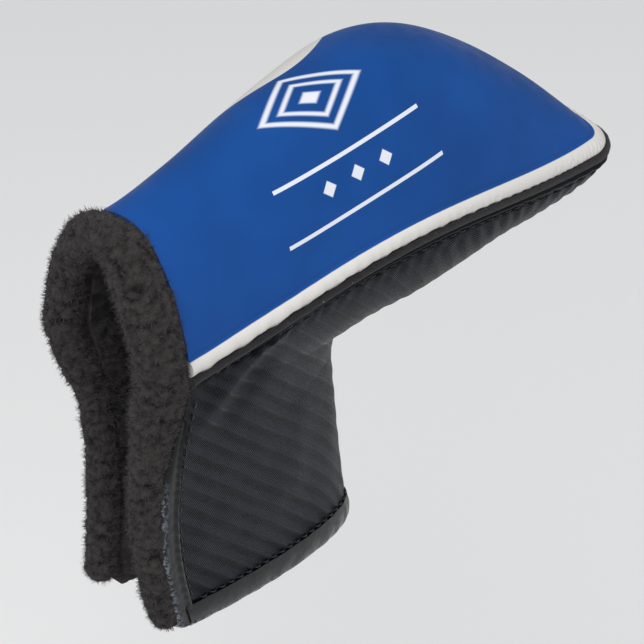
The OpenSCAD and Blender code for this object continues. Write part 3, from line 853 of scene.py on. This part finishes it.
def side_leather(side, sizes):
    """A side's leather in one piece from the seam to the keel and down over the flap.

    The design surface, plus a turned roll and stitch groove under the welt, puckers below it, embossed
    bands that run down towards the toe, and the soft slanting crease over the fold.
    """
    bulge, seed = SIDES[side]["bulge"], SIDES[side]["seed"]
    a, w = np.meshgrid(np.linspace(0, KEEL_ANGLE, 130), side_rows(150, 90, 130, 4.0), indexing="xy")
    # The last rows squeeze up under the hem band
    w = np.where(w > 3, 3 + (w - 3) * (hem_top(a) + 0.02 - 3), w)
    outer, inner = side_grid(w, a, 0, side), side_grid(w, a, LEATHER_T, side)
    out = outward(outer, [20, 0, 60])
    reach = np.linalg.norm(inner_end(w, 0, bulge) - outer_end(w, 0, bulge), axis=-1)
    below = np.linalg.norm(outer - outer[:, :1], axis=-1)
    seam = smooth((2.05 - w) / 0.1)
    x, z = outer[..., 0], outer[..., 2]
    toe = smooth((x - 55) / 45)
    roll = (0.55 + 0.4 * toe) * bell(below, 0.8 + 0.3 * toe, 0.75 + 0.2 * toe)
    groove = -0.55 * bell(below, 2.2 + 0.5 * toe, 0.45)
    pleat = np.sin(2 * np.pi * x / 4.7 + 2.0 * swell(outer, 16, seed)) * bell(below, 4.2, 3.0) * 0.16
    tilt = np.radians(45 + 15 * smooth((x - 10) / 50))
    band = (x - 40) * np.sin(tilt) + (z - 80) * np.cos(tilt)
    stroke = (x - 40) * np.cos(tilt) - (z - 80) * np.sin(tilt)
    inside = smooth(below / 4) * smooth((hem_top(a) - w) / 0.03) * smooth((88 - a) / 16)
    emboss = np.cos(2 * np.pi * band / sizes.band_pitch) * sizes.band_height * inside * (reach > 1)
    emboss *= 0.75 + 0.6 * swell(outer, 20, seed + 6)
    hollow = (swell(outer, 26, seed + 4) * 0.3 + swell(outer, 12, seed + 5) * 0.1) * smooth(below / 12)
    (start_x, start_z), (run, rise) = CREASE_START, CREASE_WAY
    fold = ((x - start_x) * rise - (z - start_z) * run) / np.hypot(run, rise)
    length = -((x - start_x) * run + (z - start_z) * rise) / np.hypot(run, rise)
    crease = 1.3 * bell(fold, 0, 4.2) * smooth(length / 6 + 1) * smooth((34 - length) / 20)
    crease -= 0.8 * bell(fold, 8, 5) * smooth(length / 6) * smooth((34 - length) / 20)
    lift = (roll + groove + pleat) * seam + emboss + hollow * smooth((89 - a) / 20) + crease * smooth(below / 4)
    plain = np.maximum(1 - inside, smooth((2.7 - below) / 0.5) * seam)
    uv = np.stack([stroke, band + 500 * sizes.band_pitch], -1)
    return slab(f"{side}_side_leather", outer + out * lift[..., None], inner, uv, {"plain": plain})


def side_padding(side):
    """Foam behind a side's leather, stopping short of the keel seam."""
    a, w = np.meshgrid(np.linspace(0.6, 78, 40), side_rows(24, 24, 40, 3.9), indexing="xy")
    return slab(f"{side}_side_padding", side_grid(w, a, FOAM_D, side), side_grid(w, a, FLEECE_D - 0.2, side))


def side_lining(side):
    """The fleece inside a side, from under the welt down past the hem, its curls facing the shaft."""
    a, w = np.meshgrid(np.linspace(0, KEEL_ANGLE, 110), side_rows(60, 60, 130, 4.03), indexing="xy")
    outer, inner = side_grid(w, a, FLEECE_D, side), side_grid(w, a, INNER_D, side)
    face, crest = tufted(inner, -outward(inner, [20, 0, 60]), SIDES[side]["seed"] + 40)
    face[..., 2] += 1.2 * (1 - smooth(a / 8)) * smooth((2.1 - w) / 0.1)
    return slab(f"{side}_side_fleece_lining", outer, face, marks={"crest": crest}), face


def cuff_rings(side, n=430, m=90):
    """Rings of the near form of a fleece cuff: from the ridge of the arch to the seam, then down the open edge.

    The radius is the same for both halves at the ridge, where the first ring lies on the middle plane, and
    falls along the flap. The middle of the rings lies a little less than one radius below the leather's face.
    """
    own = SIDES[side]
    arch_n = int(n * 0.4)
    a = np.linspace(90, 0, arch_n, endpoint=False)
    arch_r = RIDGE_CUFF_R + (own["arch_r"] - RIDGE_CUFF_R) * smooth((90 - a) / 40)
    arch = crown_pt(np.full(arch_n, -HEEL_REACH), a, arch_r * CUFF_DEPTH)
    arch[:, 0] = -HEEL_REACH - arch_r + CUFF_TUCK
    w = np.linspace(2, 4.0, n - arch_n)
    thin = smooth((w - 2.1) / 0.6)
    edge_r = own["arch_r"] + (own["flap_r"] - own["arch_r"]) * thin
    edge = side_pt(w, 0 * w, edge_r * (CUFF_DEPTH + 0.35 * thin), own["bulge"])
    edge[:, 0] -= edge_r - CUFF_TUCK + own["spread"] * bell(w, 2.75, 0.4)
    line, radius = np.concatenate([arch, edge]), np.concatenate([arch_r, edge_r])
    way = np.gradient(line, axis=0)
    way[0] = [0, -1, 0]
    way /= np.linalg.norm(way, axis=1)[:, None]
    heelwards = np.array([-1.0, 0, 0]) - way * (way @ [-1.0, 0, 0])[:, None]
    heelwards /= np.linalg.norm(heelwards, axis=1)[:, None]
    other = np.cross(way, heelwards)
    turn = np.linspace(0, 2 * np.pi, m, endpoint=False)
    spoke = heelwards[:, None] * np.cos(turn)[None, :, None] + other[:, None] * np.sin(turn)[None, :, None]
    # The last rings draw in, so that the foot is round
    closing_in = np.sqrt(share((len(line) - np.arange(len(line))) / 10))
    return line[:, None] + spoke * (radius * closing_in)[:, None, None], spoke


def fleece_cuff(side):
    """A rolled fleece cuff with its curls; returns the piece, its face and its directions.

    Both halves take the same curls at the ridge, so that they meet, and their own ones further down.
    """
    rings, spoke = cuff_rings(side)
    shared, shared_crest = tufted(rings, spoke, 61)
    face, crest = tufted(rings, spoke, 61 + SIDES[side]["seed"])
    away = smooth(-rings[..., 1] / 8)
    face, crest = shared + (face - shared) * away[..., None], shared_crest + (crest - shared_crest) * away
    face, spoke = mirrored(face, side), mirrored(spoke, side)
    closed = [np.concatenate([grid, grid[:, :1]], 1) for grid in (face, spoke)]
    return tube(f"{side}_fleece_cuff", face, marks={"crest": crest}), *closed


def hem_band(side):
    """The turned leather hem along the skirt's foot: a strip folded round the lower edge, gently puckered.

    Across the strip, t runs down the face, round the fold and a short way up inside.
    """
    bulge = SIDES[side]["bulge"]
    face, fold = 0.62, 0.88
    a, t = np.meshgrid(np.linspace(0, KEEL_ANGLE, 150), np.linspace(0, 1, 26), indexing="ij")
    drop = share(t / face)
    turn = np.pi * share((t - face) / (fold - face))
    back = share((t - fold) / (1 - fold))
    depth = FLEECE_D - 0.3

    def strip(proud):
        r = (depth + proud) / 2
        d = -proud + r * (1 - np.cos(turn))
        w = hem_top(a) + (4 - hem_top(a)) * drop - 0.045 * back
        p = side_pt(w, a, d, bulge)
        p[..., 2] -= np.sin(turn) * r * 0.6
        return p

    puff = 0.35 * np.sin(np.pi * drop) + 0.07 * np.sin(2 * np.pi * a / 9 + 3 * swell(strip(0.5), 12, 4))
    outer, inner = strip(0.55), strip(0.1)
    out = outward(outer, [0, 0, 8])
    outer = outer + out * (puff * smooth((1 - t) / 0.3))[..., None]
    # Where the hem's fold turns under it takes the pale scuffs and painted highlight
    scuffed_and_highlit = 0.5 * bell(t, 0.66, 0.08)
    return slab(f"{side}_hem_leather", mirrored(outer, side), mirrored(inner, side), marks={"scuffed_and_highlit": scuffed_and_highlit})


def edge_binding(side):
    """The smooth leather turned over a flap's open edge: a strip that leaves the stitch line and curls inwards.

    Its section is a short flat, a round whose radius grows from 0.6 to 1.7 mm towards the foot, and a short return.
    """
    bulge = SIDES[side]["bulge"]
    flat, fold = 0.4, 0.88
    w, t = np.meshgrid(np.linspace(2.3, 4.0, 190), np.linspace(0, 1, 30), indexing="ij")
    o, i = outer_end(w, 0, bulge), inner_end(w, 0, bulge)
    ray = (i - o) / np.linalg.norm(i - o, axis=-1, keepdims=True)
    grow = smooth((w - 2.3) / 0.7)
    start, stop = 0.4 + 1.7 * grow, -0.3 - 1.1 * grow - 0.5 * smooth(w - 3)

    def strip(proud):
        r = 0.6 + 1.1 * grow + proud
        turn = np.pi * share((t - flat) / (fold - flat))
        onward = start + (stop - start) * share(t / flat)
        e = onward - r * np.sin(turn) + 1.2 * share((t - fold) / (1 - fold))
        d = -proud + r * (1 - np.cos(turn))
        xz = o + ray * e[..., None]
        return np.stack([xz[..., 0], -(side_half_w(w, 0, bulge) - d), xz[..., 1]], -1)

    ridge = 0.4 * bell(t, 0.06, 0.06) - 0.15 * bell(t, 0.2, 0.08)
    crimp = 0.06 * np.sin(2 * np.pi * w / 0.08 + 3 * swell(strip(0.5), 14, 6)) * bell(t, 0.12, 0.12)
    outer, inner = strip(0.5), strip(0.05)
    out = outward(outer, [0, 0, 50])
    outer = outer + out * ((ridge + crimp) * share(t * 12))[..., None]
    # The outermost fold of the binding takes the pale scuffs and painted highlight
    scuffed_and_highlit = bell(t, 0.6, 0.12) * smooth((w - 2.75) / 0.3)
    return slab(f"{side}_edge_binding_leather", mirrored(outer, side), mirrored(inner, side), marks={"scuffed_and_highlit": scuffed_and_highlit})


def thread_row(name, side, w, a, lift, pitch, sizes):
    """A row of stitches through points of the side surface, lift proud of the leather."""
    line = mirrored(side_pt(*np.broadcast_arrays(w, a), -lift, SIDES[side]["bulge"]), side)
    places, ways = row_of(line, pitch)
    ups = places - (places @ [0, 0, 1])[:, None] * [0, 0, 1] - np.column_stack([places[:, 0], 0 * ways[:, :2]])
    ups /= np.linalg.norm(ups, axis=1)[:, None]
    ups -= ways * np.sum(ups * ways, axis=1)[:, None]
    ups /= np.linalg.norm(ups, axis=1)[:, None]
    return stitches(name, places, ways, ups, pitch * sizes.stitch_share, sizes.thread_radius)


# ---------------------------------------------------------------- add-on

def length(name, default, low, high, description):
    """A size in millimetres as a property."""
    return bpy.props.FloatProperty(name=name, default=default, min=low, max=high, description=description)


def tint(name, code, description):
    """A colour given as sRGB hex, as a property."""
    return bpy.props.FloatVectorProperty(name=name, default=linear(code), size=4, subtype="COLOR", min=0, max=1,
                                         description=description)


class CoverSizes(bpy.types.PropertyGroup):
    """Sizes of the finishing details, in millimetres."""

    border: length("Border", 4.5, 2, 8, "Width of the white border along the long seam")
    border_roll: length("Border roll", 1.0, 0, 2, "How far the border swells")
    pucker: length("Pucker", 0.13, 0, 0.4, "Height of the fine puckers in the border")
    stripe_width: length("Line width", 1.0, 0.4, 2, "Width of the printed lines")
    welt_proud: length("Welt", 1.3, 0.5, 2, "How far the felt welt stands proud")
    band_pitch: length("Band pitch", 4.1, 2, 6, "Distance between the embossed bands")
    band_height: length("Band height", 0.12, 0, 0.4, "Height of the embossed bands")
    stroke_pitch: length("Stroke pitch", 0.85, 0.5, 2, "Distance between the embossed strokes")
    pile_length: length("Pile", 1.4, 0.5, 4, "Length of the loose fleece fibres")
    thread_radius: length("Thread", 0.2, 0.1, 0.5, "Radius of the thread")
    stitch_share: bpy.props.FloatProperty(name="Stitch share", default=0.7, min=0.4, max=0.95, subtype="FACTOR",
                                          description="Length of a stitch as a share of its pitch")
    pile_count: bpy.props.IntProperty(name="Fibres", default=18000, min=1000, max=18000,
                                      description="Fibres on each cuff")


class CoverColours(bpy.types.PropertyGroup):
    """Colours of the materials."""

    print_light: tint("Print, light", "194c94", "The printed panel where it is lightest")
    print_dark: tint("Print, dark", "154587", "The printed panel where it is darkest")
    line: tint("Lines", "e4e7f0", "The unprinted lines and diamonds")
    border: tint("Border", "d8d6d2", "The white leather of the border")
    leather: tint("Leather", "0e1118", "The black leather")
    leather_dark: tint("Leather, dark", "06080d", "The black leather in its hollows")
    # Lighter black leather: on the raised strokes in patches, and as the painted highlight on one half of each band
    leather_lighter_and_highlight: tint("Leather, rubbed", "2b2f38", "The black leather on its high spots")
    # Pale blue-grey of the outermost fold of the binding and the hem: scuffs and a painted highlight
    scuff_and_highlight: tint("Scuff", "a9b6c8", "The scuffed fold of the binding")
    # The fleece's crest and crease colours paint light and shade onto its curls; the fibres take tones between the
    # crease colour and the tips at random
    fleece: tint("Fleece", "423e3e", "The fleece on its crests")
    fleece_dark: tint("Fleece, dark", "100f0f", "The fleece in its creases")
    fleece_tip: tint("Fleece, tips", "544f4e", "The tips of the fibres")


class CoverOperator:
    """What the operators below share: they are undone as one step and raise if they can't finish."""

    bl_options = {"REGISTER", "UNDO"}

    def execute(self, context):
        self.build(context.scene.cover_sizes)
        return {"FINISHED"}


class HEADCOVER_OT_crown(CoverOperator, bpy.types.Operator):
    """Make the printed crown"""

    bl_idname = "headcover.crown"
    bl_label = "Crown leather"

    def build(self, sizes):
        settle(crown_sheet(sizes), printed_leather, ["crown_sheet"])


class HEADCOVER_OT_crown_padding(CoverOperator, bpy.types.Operator):
    """Make the foam under the crown"""

    bl_idname = "headcover.crown_padding"
    bl_label = "Crown padding"

    def build(self, sizes):
        piece = settle(crown_padding(), open_foam, ["crown_foam"])


class HEADCOVER_OT_crown_lining(CoverOperator, bpy.types.Operator):
    """Make the fleece inside the crown"""

    bl_idname = "headcover.crown_lining"
    bl_label = "Crown lining"

    def build(self, sizes):
        settle(crown_lining(), fleece_ground, ["crown_lining"])


class HEADCOVER_OT_welt(CoverOperator, bpy.types.Operator):
    """Make the felt welt in the long seam"""

    bl_idname = "headcover.welt"
    bl_label = "Seam welt"

    def build(self, sizes):
        settle(seam_welt(sizes), wool_felt, ["seam_welt"])


class HEADCOVER_OT_side_leathers(CoverOperator, bpy.types.Operator):
    """Make the embossed leather of both sides"""

    bl_idname = "headcover.side_leathers"
    bl_label = "Side leathers"

    def build(self, sizes):
        for side in SIDES:
            nodes = [f"{side}_side_panel", f"{side}_flap_panel"]
            settle(side_leather(side, sizes), embossed_leather, nodes, side)


class HEADCOVER_OT_side_padding(CoverOperator, bpy.types.Operator):
    """Make the foam of both sides"""

    bl_idname = "headcover.side_padding"
    bl_label = "Side padding"

    def build(self, sizes):
        for side in SIDES:
            nodes = [f"{side}_side_foam", f"{side}_flap_foam"]
            settle(side_padding(side), open_foam, nodes, side)


class HEADCOVER_OT_side_linings(CoverOperator, bpy.types.Operator):
    """Make the fleece lining of both sides, with its loose pile"""

    bl_idname = "headcover.side_linings"
    bl_label = "Side linings"

    def build(self, sizes):
        for side, own in SIDES.items():
            piece, face = side_lining(side)
            settle(piece, fleece_ground, [f"{side}_side_lining", f"{side}_flap_lining"], side)
            inwards = -outward(face, [20, 0, 60])
            low = smooth((45 - face[..., 0]) / 30) + 0.05
            hairs = pile(f"{side}_lining_pile", face, inwards, sizes.pile_count, sizes.pile_length, own["seed"] + 70,
                         density=low)
            settle(hairs, fleece_fibre, (), side)


class HEADCOVER_OT_cuffs(CoverOperator, bpy.types.Operator):
    """Make the rolled fleece cuffs, with their loose pile"""

    bl_idname = "headcover.cuffs"
    bl_label = "Fleece cuffs"

    def build(self, sizes):
        for side, own in SIDES.items():
            piece, face, ways = fleece_cuff(side)
            nodes = [f"{side}_flap_cuff"] + (["arch_cuff"] if side == "near" else [])
            settle(piece, fleece_ground, nodes, side)
            hairs = pile(f"{side}_cuff_pile", face, ways, sizes.pile_count, sizes.pile_length, own["seed"] + 90)
            settle(hairs, fleece_fibre, (), side)


class HEADCOVER_OT_hems(CoverOperator, bpy.types.Operator):
    """Make the turned hems along the skirt's foot"""

    bl_idname = "headcover.hems"
    bl_label = "Hems"

    def build(self, sizes):
        for side in SIDES:
            nodes = [f"{side}_hem_band", f"{side}_flap_hem"]
            settle(hem_band(side), turned_leather, nodes, side)


class HEADCOVER_OT_bindings(CoverOperator, bpy.types.Operator):
    """Make the leather turned over the flaps' open edges"""

    bl_idname = "headcover.bindings"
    bl_label = "Edge bindings"

    def build(self, sizes):
        for side in SIDES:
            nodes = [f"{side}_edge_binding"]
            settle(edge_binding(side), turned_leather, nodes, side)


class HEADCOVER_OT_thread(CoverOperator, bpy.types.Operator):
    """Sew the seams, the hems and the flaps' edges"""

    bl_idname = "headcover.thread"
    bl_label = "Stitching"

    def build(self, sizes):
        for side in SIDES:
            w = np.linspace(0.14, 1.97, 200)
            reach = np.linalg.norm(inner_end(w, 0, 0) - outer_end(w, 0, 0), axis=-1)
            seam = thread_row(f"{side}_seam_thread", side, w, np.degrees(np.arcsin(2.3 / reach)), -0.2, 3.2, sizes)
            settle(seam, bonded_thread, [f"{side}_seam_stitching"])
            a = np.linspace(4, 84, 200)
            hem = thread_row(f"{side}_hem_thread", side, hem_top(a) - 0.012, a, 0.12, 3.4, sizes)
            settle(hem, bonded_thread, [f"{side}_hem_stitching"], side)
            w = np.linspace(2.12, 3.84, 200)
            edge = thread_row(f"{side}_flap_thread", side, w, 0 * w + 2.2, 0.12, 3.4, sizes)
            settle(edge, bonded_thread, [f"{side}_flap_stitching"], side)


class HEADCOVER_OT_inserts(CoverOperator, bpy.types.Operator):
    """Give the keel tape and the magnets their material"""

    bl_idname = "headcover.inserts"
    bl_label = "Tape and magnets"

    def build(self, sizes):
        for node, maker in (("keel_tape", grosgrain), ("near_flap_magnets", plated_magnet),
                            ("far_flap_magnets", plated_magnet)):
            piece = frame["nodes"][node]
            piece.data.materials.clear()
            piece.data.materials.append(coloured(maker))


class HEADCOVER_OT_studio(CoverOperator, bpy.types.Operator):
    """Set the camera, the floor and the soft light"""

    bl_idname = "headcover.studio"
    bl_label = "Studio"

    def build(self, sizes):
        scene = bpy.context.scene
        scene.view_settings.view_transform = "Standard"
        floor_drop = -0.30
        side = 6.0
        corners = np.array([[-side, -side, 0], [side, -side, 0], [side, side, 0], [-side, side, 0]]) / 2 / MM
        mesh = bpy.data.meshes.new("floor")
        mesh.from_pydata([tuple(c * MM + [0, 0, floor_drop]) for c in corners], [], [(0, 1, 2, 3)])
        floor = bpy.data.objects.new("floor", mesh)
        scene.collection.objects.link(floor)
        mesh.materials.append(coloured(studio_card))
        world = bpy.data.worlds.new("studio")
        world.use_nodes = True
        world.node_tree.nodes["Background"].inputs["Color"].default_value = linear("f4f5f7")
        world.node_tree.nodes["Background"].inputs["Strength"].default_value = 0.46
        scene.world = world
        look = Vector((0.0247, -0.0038, 0.0663))
        for name, place, width, watts in (("key", (-0.75, -0.35, 1.25), 0.9, 18), ("fill", (0.9, -1.0, 0.5), 1.4, 3)):
            light = bpy.data.lights.new(name, "AREA")
            light.energy = watts
            light.size = width
            lamp = bpy.data.objects.new(name, light)
            lamp.location = place
            lamp.rotation_euler = (look - lamp.location).to_track_quat("-Z", "Y").to_euler()
            scene.collection.objects.link(lamp)
        lens = bpy.data.cameras.new("camera")
        lens.lens = 203.5
        lens.sensor_width = 36
        lens.clip_start = 0.05
        lens.clip_end = 20
        camera = bpy.data.objects.new("camera", lens)
        turn, tilt, distance = np.radians(47.33), np.radians(36.85), 0.9
        back = Vector((-np.sin(turn) * np.cos(tilt), -np.cos(turn) * np.cos(tilt), np.sin(tilt)))
        camera.location = look + back * distance
        camera.rotation_euler = back.to_track_quat("Z", "Y").to_euler()
        scene.collection.objects.link(camera)
        scene.camera = camera


OPERATORS = (
    HEADCOVER_OT_crown, HEADCOVER_OT_crown_padding, HEADCOVER_OT_crown_lining, HEADCOVER_OT_welt,
    HEADCOVER_OT_side_leathers, HEADCOVER_OT_side_padding, HEADCOVER_OT_side_linings, HEADCOVER_OT_cuffs,
    HEADCOVER_OT_hems, HEADCOVER_OT_bindings, HEADCOVER_OT_thread, HEADCOVER_OT_inserts, HEADCOVER_OT_studio,
)


class HEADCOVER_PT_panel(bpy.types.Panel):
    """The sidebar panel: sizes, colours and one button for each operator"""

    bl_idname = "HEADCOVER_PT_panel"
    bl_label = "Head cover"
    bl_space_type = "VIEW_3D"
    bl_region_type = "UI"
    bl_category = "Head cover"

    def draw(self, context):
        for group in (context.scene.cover_sizes, context.scene.cover_colours):
            box = self.layout.box()
            for key in group.__annotations__:
                box.prop(group, key)
        for operator in OPERATORS:
            self.layout.operator(operator.bl_idname)


CLASSES = (CoverSizes, CoverColours, *OPERATORS, HEADCOVER_PT_panel)


def register():
    for each in CLASSES:
        bpy.utils.register_class(each)
    bpy.types.Scene.cover_sizes = bpy.props.PointerProperty(type=CoverSizes)
    bpy.types.Scene.cover_colours = bpy.props.PointerProperty(type=CoverColours)


def unregister():
    del bpy.types.Scene.cover_colours
    del bpy.types.Scene.cover_sizes
    for each in reversed(CLASSES):
        bpy.utils.unregister_class(each)


def main():
    """Registers the add-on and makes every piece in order."""
    register()
    for operator in OPERATORS:
        group, name = operator.bl_idname.split(".")
        getattr(getattr(bpy.ops, group), name)()


if __name__ == "__main__":
    main()
